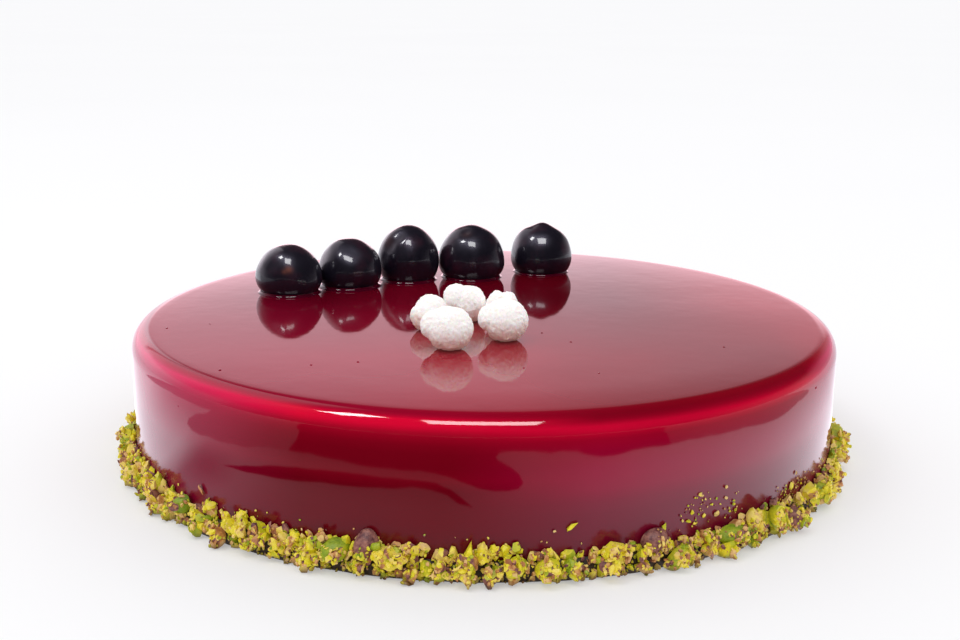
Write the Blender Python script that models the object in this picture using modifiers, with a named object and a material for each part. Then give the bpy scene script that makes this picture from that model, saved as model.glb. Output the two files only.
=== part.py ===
"""A mirror-glazed berry cake with five glossy cherries, five meringue puffs and chopped pistachios round its foot.

Metres, +Z up. The origin is the middle of the cake's base, on the surface that it stands on.
The front, where the puffs lie, faces -Y, and the row of cherries runs across the back of the top.
"""
import math
import random

import bmesh
import bpy
from mathutils import Euler, Vector, noise

# The cake: it was set in a 200 mm ring, and the glaze adds 2 mm all round
RING_DIAMETER = 0.200
GLAZE_THICKNESS = 0.002
CAKE_HEIGHT = 0.039
EDGE_ROUNDING = 0.0055
FOOT_ROUNDING = 0.0012
CAKE_RADIUS = RING_DIAMETER / 2 + GLAZE_THICKNESS
CAKE_STEPS = 90
EDGE_STEPS = 5
FOOT_STEPS = 1

# The gap between pieces that touch
GAP = 0.0003

# Cherries: place on the top, width, height above the glaze, the level where each is widest, and the share of
# its width that its foot has
CHERRY_SEGMENTS = 16
CHERRY_RINGS = 10
CHERRY_FOOT = 0.82
CHERRIES = [
    {"place": (-0.0615, 0.0247), "width": 0.0211, "height": 0.0149, "widest": 0.0044, "depth": 0.93, "turn": -8},
    {"place": (-0.0434, 0.0345), "width": 0.0207, "height": 0.0152, "widest": 0.0046, "depth": 0.93, "turn": 12},
    {"place": (-0.0251, 0.0457), "width": 0.0203, "height": 0.0176, "widest": 0.0062, "depth": 0.96, "turn": 0},
    {"place": (-0.0044, 0.0510), "width": 0.0222, "height": 0.0170, "widest": 0.0048, "depth": 0.96, "turn": 0},
    {"place": (0.0192, 0.0601), "width": 0.0208, "height": 0.0158, "widest": 0.0046, "depth": 0.96, "turn": 0},
]
# Dents and bumps on the cherries: which cherry, direction from its middle, depth of the dent (less than 0
# for a bump), and how wide it is, as a share of the cherry's half width
CHERRY_MARKS = [
    (0, (0.75, -0.30, 0.60), 0.050, 0.55),
    (0, (-0.20, -0.75, 0.35), 0.022, 0.22),
    (1, (-0.85, -0.30, 0.45), 0.070, 0.45),
    (1, (0.10, -0.62, 0.78), 0.035, 0.40),
    (1, (0.10, -0.98, 0.15), -0.040, 0.45),
    (2, (-0.55, -0.60, 0.50), 0.085, 0.20),
    (2, (-0.28, -0.55, 0.78), 0.060, 0.20),
    (2, (-0.72, -0.60, 0.12), 0.055, 0.20),
    (2, (0.80, -0.20, 0.62), 0.050, 0.45),
    (2, (0.15, -0.98, 0.10), -0.050, 0.45),
    (3, (-0.20, -0.45, 0.90), 0.050, 0.22),
    (3, (0.20, -0.95, 0.15), -0.040, 0.40),
    (4, (0.04, -0.05, 1.00), -0.075, 0.26),
    (4, (-0.68, 0.00, 0.74), -0.040, 0.36),
    (4, (0.75, 0.00, 0.65), -0.025, 0.40),
]

# Meringue puffs: place, size, and the lobes that make each lump, as middles and radii in a lump of half width 1
PUFF_SEGMENTS = 14
PUFF_RINGS = 9
PUFF_FOOT = 0.86
PUFFS = [
    {"place": (-0.0157, -0.0215), "width": 0.0110, "depth": 0.0108, "height": 0.0096, "turn": 20,
     "lobes": [((0.15, 0.10, 0.14), 0.78), ((-0.22, -0.18, -0.14), 0.76)]},
    {"place": (-0.0099, -0.0428), "width": 0.0144, "depth": 0.0132, "height": 0.0114, "turn": 0,
     "lobes": [((0.10, 0.00, -0.06), 0.86), ((-0.36, 0.10, 0.04), 0.62)]},
    {"place": (-0.0056, -0.0120), "width": 0.0124, "depth": 0.0108, "height": 0.0108, "turn": 0,
     "lobes": [((-0.46, 0.00, 0.26), 0.60), ((0.20, 0.00, 0.00), 0.80)]},
    {"place": (0.0052, -0.0328), "width": 0.0139, "depth": 0.0132, "height": 0.0112, "turn": 0,
     "lobes": [((0.08, 0.00, -0.06), 0.88), ((-0.40, -0.05, 0.06), 0.60)]},
    {"place": (0.0049, -0.0165), "width": 0.0096, "depth": 0.0086, "height": 0.0100, "turn": 0,
     "lobes": [((-0.30, 0.00, 0.10), 0.70), ((0.35, 0.05, 0.16), 0.64)]},
]
PUFF_ROUGHNESS = 0.00035
PUFF_GRAIN = 0.0035

# The band of chopped pistachios: a core that stands round the foot, and rows of kernels fused on it
BAND_SEED = 11
CORE_STEPS = 48
CORE_FOOT = 0.0020
CORE_TOP = 0.0008
CORE_HEIGHT = 0.0062
# Each row: how many kernels, how far out of the cake's side and how high their middles are, and their lengths
NUT_ROWS = [
    {"count": 67, "out": 0.0034, "up": 0.0022, "length": (0.0040, 0.0062)},
    {"count": 67, "out": 0.0030, "up": 0.0048, "length": (0.0040, 0.0062)},
    {"count": 56, "out": 0.0017, "up": 0.0070, "length": (0.0034, 0.0054)},
]
# How high the heap stands round the cake: degrees from the front towards +X, and a share of its usual height
BAND_HEIGHT = [
    (-180, 1.00), (-52, 0.95), (-47, 0.75), (-43, 0.90), (-40, 1.00), (-36, 1.20), (-33, 1.05), (-29, 0.82),
    (-24, 1.00), (-20, 1.00), (-15, 1.15), (-10, 1.00), (2, 1.05), (6, 1.15), (10, 1.05), (12, 0.72), (15, 0.68),
    (18, 0.88), (22, 0.78), (27, 0.62), (31, 0.72), (35, 0.80), (40, 0.95), (52, 0.85), (57, 0.72), (63, 0.90),
    (80, 1.00), (180, 1.00),
]
NUT_SCATTER = 0.0009
NUT_STAGGER = 0.35
NUT_SHAPE = (1.0, 0.78, 0.64)
CHIP_SHAPE = (0.80, 0.64, 0.52)
NUT_JITTER = 0.22
LARGE_JITTER = 0.08
# The large pieces: degrees round from the front towards +X, how far out and how high the middle is, length,
# height and thickness, and the tilt of the length up from level
LARGE_SEGMENTS = 7
LARGE_RINGS = 4
LARGE_NUTS = [
    (-54.5, 0.0022, 0.0070, 0.0062, 0.0048, 0.0036, 30),
    (-46.6, 0.0030, 0.0056, 0.0052, 0.0046, 0.0040, 50),
    (-30.5, 0.0028, 0.0060, 0.0050, 0.0056, 0.0036, 80),
    (-19.2, 0.0032, 0.0052, 0.0070, 0.0060, 0.0048, 15),
    (-15.0, 0.0024, 0.0072, 0.0080, 0.0062, 0.0040, 75),
    (-11.6, 0.0032, 0.0056, 0.0084, 0.0048, 0.0042, -22),
    (-1.9, 0.0030, 0.0058, 0.0088, 0.0052, 0.0040, 82),
    (4.2, 0.0036, 0.0044, 0.0050, 0.0048, 0.0040, 20),
    (17.2, 0.0028, 0.0062, 0.0074, 0.0048, 0.0038, -8),
    (23.0, 0.0024, 0.0072, 0.0070, 0.0056, 0.0034, 20),
    (25.7, 0.0044, 0.0026, 0.0070, 0.0036, 0.0034, 48),
    (35.2, 0.0036, 0.0048, 0.0084, 0.0046, 0.0040, 5),
    (33.7, 0.0046, 0.0024, 0.0050, 0.0044, 0.0036, 60),
    (39.6, 0.0024, 0.0066, 0.0056, 0.0050, 0.0036, 70),
    (43.6, 0.0036, 0.0054, 0.0088, 0.0050, 0.0036, -62),
    (47.8, 0.0054, 0.0032, 0.0064, 0.0056, 0.0042, -70),
    (54.6, 0.0024, 0.0064, 0.0052, 0.0038, 0.0032, 18),
    (58.0, 0.0040, 0.0040, 0.0062, 0.0050, 0.0040, 40),
    (82.0, 0.0028, 0.0064, 0.0080, 0.0050, 0.0040, 30),
    (112.0, 0.0030, 0.0056, 0.0078, 0.0048, 0.0040, -15),
    (139.0, 0.0026, 0.0066, 0.0084, 0.0052, 0.0038, 65),
    (167.0, 0.0032, 0.0050, 0.0072, 0.0056, 0.0042, 10),
    (196.0, 0.0026, 0.0066, 0.0080, 0.0050, 0.0038, -40),
    (8.3, 0.0040, 0.0034, 0.0062, 0.0048, 0.0040, 25),
    (248.0, 0.0028, 0.0062, 0.0084, 0.0046, 0.0038, 5),
    (281.0, 0.0028, 0.0064, 0.0074, 0.0054, 0.0040, 55),
]
# Nuts stay this far inside the core's own faces at the cake's side and at the surface it stands on
NUT_INSET = 0.00015


def clear_scene():
    """Remove every object of the starting scene."""
    for thing in list(bpy.data.objects):
        bpy.data.objects.remove(thing, do_unlink=True)


def new_collection(name):
    """A collection linked to the scene."""
    collection = bpy.data.collections.new(name)
    bpy.context.scene.collection.children.link(collection)
    return collection


def finish(name, colour, roughness, coat=0.0):
    """A Principled material in one colour."""
    material = bpy.data.materials.new(name)
    material.use_nodes = True
    shader = material.node_tree.nodes["Principled BSDF"]
    shader.inputs["Base Color"].default_value = (*colour, 1.0)
    shader.inputs["Roughness"].default_value = roughness
    shader.inputs["Metallic"].default_value = 0.0
    shader.inputs["Coat Weight"].default_value = coat
    material.diffuse_color = (*colour, 1.0)
    return material


def mesh_object(name, mesh, collection, material=None):
    """An object of a mesh, in a collection, with one material."""
    thing = bpy.data.objects.new(name, mesh)
    collection.objects.link(thing)
    if material:
        mesh.materials.append(material)
    return thing


def smooth(thing, angle=40):
    """Shade an object smooth up to an angle between its faces."""
    thing.data.shade_smooth()
    thing.data.set_sharp_from_angle(angle=math.radians(angle))


def arc(centre_x, centre_z, radius, start, end, steps):
    """Points of a round stretch of a profile, from one angle to another, in degrees above +X."""
    points = []
    for step in range(steps + 1):
        angle = math.radians(start + (end - start) * step / steps)
        points.append((centre_x + radius * math.cos(angle), centre_z + radius * math.sin(angle)))
    return points


def turned(name, profile, steps, collection, material, closed=False):
    """A solid turned round the Z axis from a profile that runs down its outer side."""
    mesh = bpy.data.meshes.new(name)
    edges = [(i, i + 1) for i in range(len(profile) - 1)]
    if closed:
        edges.append((len(profile) - 1, 0))
    mesh.from_pydata([(x, 0.0, z) for x, z in profile], edges, [])
    thing = mesh_object(name, mesh, collection, material)
    screw = thing.modifiers.new("turn", "SCREW")
    screw.axis = "Z"
    screw.steps = steps
    screw.render_steps = steps
    screw.use_merge_vertices = True
    screw.merge_threshold = 0.00001
    screw.use_smooth_shade = True
    return thing


def cake_profile():
    """Half the cake's outline: flat top, rounded edge, upright side, small rounding at the foot, flat base."""
    edge = CAKE_RADIUS - EDGE_ROUNDING
    foot = CAKE_RADIUS - FOOT_ROUNDING
    profile = [(0.0, CAKE_HEIGHT)]
    profile += arc(edge, CAKE_HEIGHT - EDGE_ROUNDING, EDGE_ROUNDING, 90, 0, EDGE_STEPS)
    profile += arc(foot, FOOT_ROUNDING, FOOT_ROUNDING, 0, -90, FOOT_STEPS)
    profile.append((0.0, 0.0))
    return profile


def core_inside():
    """The radius of the core's inner corners, whose flats between them clear the cake by the gap."""
    return (CAKE_RADIUS + GAP) / math.cos(math.pi / CORE_STEPS)


def core_profile():
    """The band's core: a low curb with a sloping outer side."""
    inner = core_inside()
    return [
        (inner, CORE_HEIGHT),
        (inner + CORE_TOP, CORE_HEIGHT),
        (inner + CORE_FOOT, 0.0),
        (inner, 0.0),
    ]


def marked(direction, marks):
    """How far a cherry's skin lies from its middle in a direction, with its dents and bumps."""
    reach = 1.0
    for toward, depth, width in marks:
        apart = (direction - Vector(toward).normalized()).length
        reach -= depth * math.exp(-((apart / width) ** 2))
    return reach


def cherry(number, collection, material):
    """A soft stoned cherry, slumped on the glaze, so that its underside is a flat foot."""
    size = CHERRIES[number]
    marks = [mark[1:] for mark in CHERRY_MARKS if mark[0] == number]
    half = size["width"] / 2
    above = size["height"] - size["widest"]
    below = size["widest"] / math.sqrt(1 - CHERRY_FOOT ** 2)
    turn = Euler((0.0, 0.0, math.radians(size["turn"])))
    shape = bmesh.new()
    bmesh.ops.create_uvsphere(shape, u_segments=CHERRY_SEGMENTS, v_segments=CHERRY_RINGS, radius=1.0)
    for vertex in shape.verts:
        direction = vertex.co.normalized()
        spot = direction * marked(direction, marks)
        spot.x *= half
        spot.y *= half * size["depth"]
        spot.z *= above if spot.z > 0 else below
        spot.z = max(spot.z, -size["widest"])
        spot.rotate(turn)
        vertex.co = spot + Vector((*size["place"], CAKE_HEIGHT + GAP + size["widest"]))
    name = f"cherry_{number + 1}"
    mesh = bpy.data.meshes.new(name)
    shape.to_mesh(mesh)
    shape.free()
    thing = mesh_object(name, mesh, collection, material)
    smooth(thing)
    return thing


def corners(vertices):
    """The lowest and the highest corner of the box round some vertices."""
    low = Vector([min(vertex.co[axis] for vertex in vertices) for axis in range(3)])
    high = Vector([max(vertex.co[axis] for vertex in vertices) for axis in range(3)])
    return low, high


def lump_reach(direction, lobes):
    """How far a lump of round lobes reaches from its middle in a direction."""
    reach = 0.0
    for middle, radius in lobes:
        along = direction.dot(middle)
        aside = middle.length_squared - along * along
        if aside < radius * radius:
            reach = max(reach, along + math.sqrt(radius * radius - aside))
    return reach


def puff(number, collection, material):
    """A small dried meringue: a lump of two lobes with a faintly grainy skin and a flat foot."""
    size = PUFFS[number]
    scale = Vector((size["width"], size["depth"], size["height"])) / 2
    lobes = [(Vector(middle), radius) for middle, radius in size["lobes"]]
    turn = Euler((0.0, 0.0, math.radians(size["turn"])))
    shape = bmesh.new()
    bmesh.ops.create_uvsphere(shape, u_segments=PUFF_SEGMENTS, v_segments=PUFF_RINGS, radius=1.0)
    for vertex in shape.verts:
        direction = vertex.co.normalized()
        spot = direction * lump_reach(direction, lobes) * scale
        grain = noise.noise(spot / PUFF_GRAIN + Vector((number * 7.0, 0.0, 0.0)))
        spot += direction * grain * PUFF_ROUGHNESS
        vertex.co = spot
    lowest = min(vertex.co.z for vertex in shape.verts) * PUFF_FOOT
    for vertex in shape.verts:
        vertex.co.z = max(vertex.co.z, lowest)
    low, high = corners(shape.verts)
    full = Vector((size["width"], size["depth"], size["height"]))
    stretch = Vector([full[axis] / (high[axis] - low[axis]) for axis in range(3)])
    middle = (low + high) / 2
    for vertex in shape.verts:
        vertex.co = (vertex.co - middle) * stretch
        vertex.co.rotate(turn)
        vertex.co += Vector((*size["place"], CAKE_HEIGHT + GAP + size["height"] / 2))
    name = f"meringue_{number + 1}"
    mesh = bpy.data.meshes.new(name)
    shape.to_mesh(mesh)
    shape.free()
    thing = mesh_object(name, mesh, collection, material)
    smooth(thing, 60)
    return thing


def kernel(name, kind, azimuth, out, up, sizes, tilt, draw, collection):
    """One piece of chopped kernel, a rough lump of few faces, held clear of the cake and the surface."""
    shape = bmesh.new()
    if kind == "half":
        bmesh.ops.create_uvsphere(shape, u_segments=LARGE_SEGMENTS, v_segments=LARGE_RINGS, radius=0.5)
    elif kind == "lump":
        bmesh.ops.create_icosphere(shape, subdivisions=1, radius=0.5)
    else:
        bmesh.ops.create_cube(shape, size=1.0)
        bmesh.ops.triangulate(shape, faces=shape.faces)
    turn = Euler((math.radians(tilt[0]), math.radians(tilt[1]), math.radians(tilt[2])))
    around = Euler((0.0, 0.0, azimuth))
    nearest = core_inside() + NUT_INSET
    jitter = LARGE_JITTER if kind == "half" else NUT_JITTER
    for vertex in shape.verts:
        spot = vertex.co * (1 + draw.uniform(-jitter, jitter)) * Vector(sizes)
        spot.rotate(turn)
        spot += Vector((0.0, -(CAKE_RADIUS + out), up))
        spot.rotate(around)
        flat = spot.xy
        if flat.length < nearest:
            spot.xy = flat.normalized() * nearest
        spot.z = max(spot.z, NUT_INSET)
        vertex.co = spot
    mesh = bpy.data.meshes.new(name)
    shape.to_mesh(mesh)
    shape.free()
    return mesh_object(name, mesh, collection)


def heap_share(azimuth):
    """How high the heap stands in a direction, as a share of its usual height."""
    degrees = (math.degrees(azimuth) + 180) % 360 - 180
    for (before, low), (after, high) in zip(BAND_HEIGHT, BAND_HEIGHT[1:]):
        if degrees <= after:
            return low + (high - low) * (degrees - before) / (after - before)
    return BAND_HEIGHT[-1][1]


def chopped_nuts(collection):
    """The kernels of the band: the large halves first, then row after row of smaller pieces."""
    draw = random.Random(BAND_SEED)
    for number, (degrees, out, up, length, height, thickness, tilt) in enumerate(LARGE_NUTS):
        sizes = (length, thickness, height)
        kernel(f"large_{number}", "half", math.radians(degrees), out, up, sizes, (0, -tilt, 0), draw, collection)
    for row, rule in enumerate(NUT_ROWS):
        for number in range(rule["count"]):
            azimuth = math.tau * (number + draw.uniform(-NUT_STAGGER, NUT_STAGGER)) / rule["count"]
            out = rule["out"] + draw.uniform(-NUT_SCATTER, NUT_SCATTER)
            up = rule["up"] * heap_share(azimuth) + draw.uniform(-NUT_SCATTER, NUT_SCATTER)
            length = draw.uniform(*rule["length"])
            kind = "chip" if number % 3 else "lump"
            sizes = [length * share for share in (NUT_SHAPE if kind == "lump" else CHIP_SHAPE)]
            tilt = [draw.uniform(0, 360) for _ in range(3)]
            kernel(f"row_{row}_{number}", kind, azimuth, out, up, sizes, tilt, draw, collection)


def islands(shape):
    """The separate closed surfaces of a mesh, each as a list of its faces."""
    found = []
    left = set(shape.faces)
    while left:
        stack = [left.pop()]
        island = []
        while stack:
            face = stack.pop()
            island.append(face)
            for edge in face.edges:
                for other in edge.link_faces:
                    if other in left:
                        left.remove(other)
                        stack.append(other)
        found.append(island)
    return found


def spread(island):
    """The length of the diagonal of a surface's box."""
    low, high = corners([vertex for face in island for vertex in face.verts])
    return (high - low).length


def keep_main_body(thing):
    """Keep the outermost surface of a fused mesh: sealed hollows are filled, and loose scraps dropped."""
    shape = bmesh.new()
    shape.from_mesh(thing.data)
    surfaces = sorted(islands(shape), key=spread)
    for surface in surfaces[:-1]:
        bmesh.ops.delete(shape, geom=surface, context="FACES")
    shape.to_mesh(thing.data)
    shape.free()


def nut_band(collection, material):
    """The band round the foot: one Boolean union joins the kernels to their core."""
    band = turned("pistachio_band", core_profile(), CORE_STEPS, collection, material, closed=True)
    nuts = new_collection("nuts_to_join")
    chopped_nuts(nuts)
    union = band.modifiers.new("nuts", "BOOLEAN")
    union.operation = "UNION"
    union.operand_type = "COLLECTION"
    union.collection = nuts
    bpy.context.view_layer.update()
    graph = bpy.context.evaluated_depsgraph_get()
    joined = bpy.data.meshes.new_from_object(band.evaluated_get(graph))
    band.modifiers.clear()
    band.data = joined
    for nut in list(nuts.objects):
        bpy.data.objects.remove(nut, do_unlink=True)
    bpy.data.collections.remove(nuts)
    keep_main_body(band)
    joined.shade_flat()
    return band


def main():
    """Build the cake and what lies on and round it."""
    clear_scene()
    parts = new_collection("berry_cake")
    glaze = finish("mirror_glaze", (0.30, 0.004, 0.02), 0.06, coat=1.0)
    fruit = finish("syrup_cherry", (0.012, 0.004, 0.008), 0.12, coat=1.0)
    meringue = finish("meringue", (0.86, 0.83, 0.80), 0.85)
    nuts = finish("pistachio", (0.44, 0.44, 0.05), 0.6)
    turned("cake_body", cake_profile(), CAKE_STEPS, parts, glaze)
    nut_band(parts, nuts)
    for number in range(len(CHERRIES)):
        cherry(number, parts, fruit)
    for number in range(len(PUFFS)):
        puff(number, parts, meringue)


main()
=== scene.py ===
# %% [markdown]
# # A mirror-glazed berry cake
#
# A round cake under a wet crimson glaze carries a row of dark cherries and a few small meringues,
# and chopped pistachios are pressed round its foot. The plain solids come in as a frame that fixes
# every size and place. This lesson gives each of them its real surface, one piece at a time: first
# the camera and the light, then the glaze, the fruit, the meringues and the nuts.

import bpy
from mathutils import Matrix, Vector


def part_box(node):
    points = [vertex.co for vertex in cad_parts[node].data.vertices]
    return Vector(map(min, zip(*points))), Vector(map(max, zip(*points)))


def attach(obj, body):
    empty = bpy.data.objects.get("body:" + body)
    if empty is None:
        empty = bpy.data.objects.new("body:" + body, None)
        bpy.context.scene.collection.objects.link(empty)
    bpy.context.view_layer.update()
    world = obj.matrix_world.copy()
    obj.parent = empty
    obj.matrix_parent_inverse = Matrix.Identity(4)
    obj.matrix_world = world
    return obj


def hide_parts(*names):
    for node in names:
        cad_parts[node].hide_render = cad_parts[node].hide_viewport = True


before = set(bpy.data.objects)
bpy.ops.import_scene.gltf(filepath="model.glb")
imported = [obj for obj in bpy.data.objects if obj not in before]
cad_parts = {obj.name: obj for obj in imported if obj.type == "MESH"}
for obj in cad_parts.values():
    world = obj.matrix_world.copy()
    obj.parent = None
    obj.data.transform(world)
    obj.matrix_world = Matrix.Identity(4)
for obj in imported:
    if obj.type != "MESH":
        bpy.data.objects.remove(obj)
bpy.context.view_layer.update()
print("solids:", sorted(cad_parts))

# %% Modules
import math
import random

import bmesh
import bpy
from mathutils import Euler, Matrix, Vector
from mathutils.bvhtree import BVHTree

# %% [markdown]
# ## Sizes
#
# Every size comes from the frame where it can: the cake's solid gives its radius and its height.

# %% Sizes of the cake
low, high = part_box("cake_body")
CAKE_RADIUS = high.x
CAKE_HEIGHT = high.z
EDGE_ROUNDING = 0.0055
FOOT_ROUNDING = 0.0012
GAP = 0.0003
print(f"cake {CAKE_RADIUS * 2000:.1f} mm across, {CAKE_HEIGHT * 1000:.1f} mm high")

# %% [markdown]
# ## Camera
#
# The camera stands low in front and looks down a little, so the top shows as a flat ellipse and
# mirrors what is behind it. A 50 mm lens keeps the shape natural, and its three angles are given.

# %% The camera
camera_data = bpy.data.cameras.new("camera")
camera_data.lens = 50
camera_data.sensor_width = 36
camera_data.clip_start = 0.01
camera = bpy.data.objects.new("camera", camera_data)
bpy.context.scene.collection.objects.link(camera)
camera.location = (0.0, -0.3861, 0.1317)
camera.rotation_euler = [math.radians(degrees) for degrees in (76.141, -0.44, 0.289)]
bpy.context.scene.camera = camera
print("camera at", tuple(camera.location))

# %% [markdown]
# ## A short way to write shaders
#
# Written out in full, each Math node takes four lines. So a small class wraps a node's output and
# lets it stand in a sum, as in `1 - mask * 0.5`. Every other node comes from one method, which takes
# its type, its settings, and what goes into it.


# %% Nodes as expressions
class Wire:
    """The output of a node, which can stand in a sum."""

    def __init__(self, nodes, socket):
        self.nodes = nodes
        self.socket = socket

    def __getitem__(self, name):
        return Wire(self.nodes, self.socket.node.outputs[name])

    def __add__(self, other):
        return self.nodes.calc("ADD", self, other)

    def __sub__(self, other):
        return self.nodes.calc("SUBTRACT", self, other)

    def __rsub__(self, other):
        return self.nodes.calc("SUBTRACT", other, self)

    def __mul__(self, other):
        return self.nodes.calc("MULTIPLY", self, other)

    def __truediv__(self, other):
        return self.nodes.calc("DIVIDE", self, other)

    __radd__ = __add__
    __rmul__ = __mul__


class Nodes:
    """A tree of nodes that is being filled."""

    def __init__(self, tree):
        self.tree = tree

    def add(self, kind, settings=None, sockets=None):
        """Add a node: its settings first, then a value or a wire for each socket that it names."""
        node = self.tree.nodes.new(kind)
        for name, value in (settings or {}).items():
            if name == "stops":
                self.fill_ramp(node.color_ramp, value)
            else:
                setattr(node, name, value)
        for name, value in (sockets or {}).items():
            self.feed(node, name, value)
        return Wire(self, next(socket for socket in node.outputs if socket.enabled))

    def feed(self, node, name, value):
        """Put a value or a wire into a socket, found by its number, its name or its identifier."""
        fitting = [s for s in node.inputs if s.enabled and name in (s.name, s.identifier)]
        socket = node.inputs[name] if isinstance(name, int) else fitting[0]
        if isinstance(value, Wire):
            self.tree.links.new(value.socket, socket)
        elif socket.type == "RGBA":
            socket.default_value = (*value[:3], 1.0)
        else:
            socket.default_value = value

    def fill_ramp(self, ramp, stops):
        """Give a ramp its stops: places and colours, from left to right."""
        while len(ramp.elements) < len(stops):
            ramp.elements.new(1.0)
        for element, (place, colour) in zip(ramp.elements, stops):
            element.position = place
            element.color = (*colour, 1.0)

    def calc(self, operation, first, second=0.0):
        """One step of a sum, done by a Math node."""
        return self.add("ShaderNodeMath", {"operation": operation}, {0: first, 1: second})

    def between(self, value, low, high):
        """A value turned into a share: 0 at low, 1 at high, held there beyond."""
        sockets = {"Value": value, "From Min": low, "From Max": high}
        return self.add("ShaderNodeMapRange", {"clamp": True}, sockets)

    def mix(self, share, first, second, blend="MIX"):
        """A colour between two colours."""
        settings = {"data_type": "RGBA", "blend_type": blend}
        return self.add("ShaderNodeMix", settings, {"Factor": share, "A": first, "B": second})

    def ramp(self, share, stops):
        """A colour read from a ramp."""
        return self.add("ShaderNodeValToRGB", {"stops": stops}, {"Fac": share})

    def levels(self, value, stops, tint=(1, 1, 1)):
        """A brightness in one tint, read from a list of places and percents."""
        first = stops[0][0]
        reach = stops[-1][0] - first
        colours = [((at - first) / reach, [level / 100 * part for part in tint]) for at, level in stops]
        return self.ramp((value - first) / reach, colours)

    def turn(self, across, along):
        """An angle in degrees from the second direction towards the first."""
        return self.calc("ARCTAN2", across, along) * (180 / math.pi)


class Finish(Nodes):
    """A material: a Principled shader and the nodes that lead to it."""

    def __init__(self, name, **constants):
        self.material = bpy.data.materials.new(name)
        self.material.use_nodes = True
        super().__init__(self.material.node_tree)
        self.shader = self.tree.nodes["Principled BSDF"]
        for socket, value in constants.items():
            self.shader.inputs[socket.replace("_", " ")].default_value = value

    def place(self):
        """Where a point lies on the object, in metres."""
        return self.add("ShaderNodeTexCoord")["Object"]

    def axes(self):
        """The same place, split into X, Y and Z."""
        return self.add("ShaderNodeSeparateXYZ", {}, {"Vector": self.place()})

    def away(self, spot):
        """How far a point lies from a spot, in metres."""
        sockets = {0: self.place(), 1: spot}
        return self.add("ShaderNodeVectorMath", {"operation": "DISTANCE"}, sockets)["Value"]

    def noise(self, size, detail=2.0, roughness=0.5):
        """Soft blotches of a given size in metres, about 0.5 on the average."""
        sockets = {"Vector": self.place(), "Scale": 1 / size, "Detail": detail, "Roughness": roughness}
        return self.add("ShaderNodeTexNoise", {}, sockets)

    def painted(self, name):
        """An attribute of the mesh, as a number."""
        return self.add("ShaderNodeAttribute", {"attribute_name": name})["Fac"]

    def bump(self, height, distance):
        """A relief that bends the light and not the mesh."""
        return self.add("ShaderNodeBump", {}, {"Height": height, "Distance": distance})

    def wear(self, **wires):
        """Lead wires to the shader."""
        for socket, wire in wires.items():
            self.feed(self.shader, socket.replace("_", " "), wire)


# %% [markdown]
# ## Light
#
# A mirror glaze shows the room more than itself. Its top mirrors a bright backdrop low behind the
# cake, and the dark above keeps the colour deep. A lit wall washes over the left rim up to a thin
# dark corner, and on the right there is a low glow. A world shader does this: the camera sees plain
# white, and mirror rays see walls whose brightness depends on how high and how far round they look.

# %% The room round the cake
ROOM_WHITE = (0.955, 0.955, 0.968)
ROSY = (1.45, 1.0, 1.12)
PALE = (1.1, 1.0, 1.1)
# How bright the walls are in percent, where a mirror ray rises from level (0) to straight up (1)
BACKDROP = [
    (0, 200), (0.18, 160), (0.215, 95), (0.235, 72), (0.27, 62), (0.3, 45), (0.36, 20), (0.5, 3), (1, 1),
]
LEFT_WALL = [(0, 135), (0.26, 145), (0.34, 100), (0.45, 78), (0.62, 70), (0.8, 65), (0.88, 5), (1, 1)]
RIGHT_WALL = [
    (0, 60), (0.05, 55), (0.11, 38), (0.16, 36), (0.25, 24), (0.27, 20), (0.31, 10), (0.37, 2), (1, 1),
]
# How far round the walls go: degrees from straight behind the cake towards the right, and percent
WALLS_ROUND = [
    (-180, 2), (-128, 2), (-110, 8), (-98, 20), (-90, 40), (-76, 45), (-62, 85), (-54, 100), (-19, 100),
    (-14, 118), (-4, 110), (2, 100), (7, 90), (12, 82), (16, 82), (26, 100), (60, 100), (78, 60), (97, 30),
    (113, 5), (125, 2), (180, 2),
]
SOFT_BEHIND = 1.24
SOFT_FRONT = 0.82

world = bpy.data.worlds.new("room")
world.use_nodes = True
bpy.context.scene.world = world
room = Nodes(world.node_tree)
looking = room.add("ShaderNodeTexCoord")["Generated"]
axes = room.add("ShaderNodeSeparateXYZ", {}, {"Vector": looking})
rise = axes["Z"]
turned = room.turn(axes["X"], axes["Y"])
climb = room.calc("ARCSINE", rise) * (180 / math.pi)
walls = room.mix(room.between(turned + climb * 0.12, -15, -18),
                 room.levels(rise, BACKDROP, ROSY), room.levels(rise, LEFT_WALL, PALE))
walls = room.mix(room.between(turned, 16, 26), walls, room.levels(rise, RIGHT_WALL, PALE))
off_corner = room.calc("ABSOLUTE", turned + 49.8 - climb * 1.1)
corner = room.between(off_corner, 2.6, 1.2) * room.between(climb, 13, 17)
share = room.levels(turned, WALLS_ROUND) * (1 - 0.55 * corner)
mirrored = room.add("ShaderNodeVectorMath", {"operation": "SCALE"}, {"Vector": walls, "Scale": share})
soft = room.add("ShaderNodeMapRange", {},
                {"Value": axes["Y"], "From Min": -1.0, "To Min": SOFT_FRONT, "To Max": SOFT_BEHIND})
path = room.add("ShaderNodeLightPath")
seen = room.mix(path["Is Camera Ray"], room.mix(path["Is Glossy Ray"], soft, mirrored), ROOM_WHITE)
room.feed(world.node_tree.nodes["Background"], "Color", seen)
print("world nodes:", len(world.node_tree.nodes))

# %% [markdown]
# Two windows over the cake make the long white streak on its rounded edge and a pair of small
# lights on each cherry. A mirror image needs a bright window, but it would flood the matt nuts. So
# the windows only shine for mirror rays, and two weaker lamps beside them light everything else.

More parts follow.
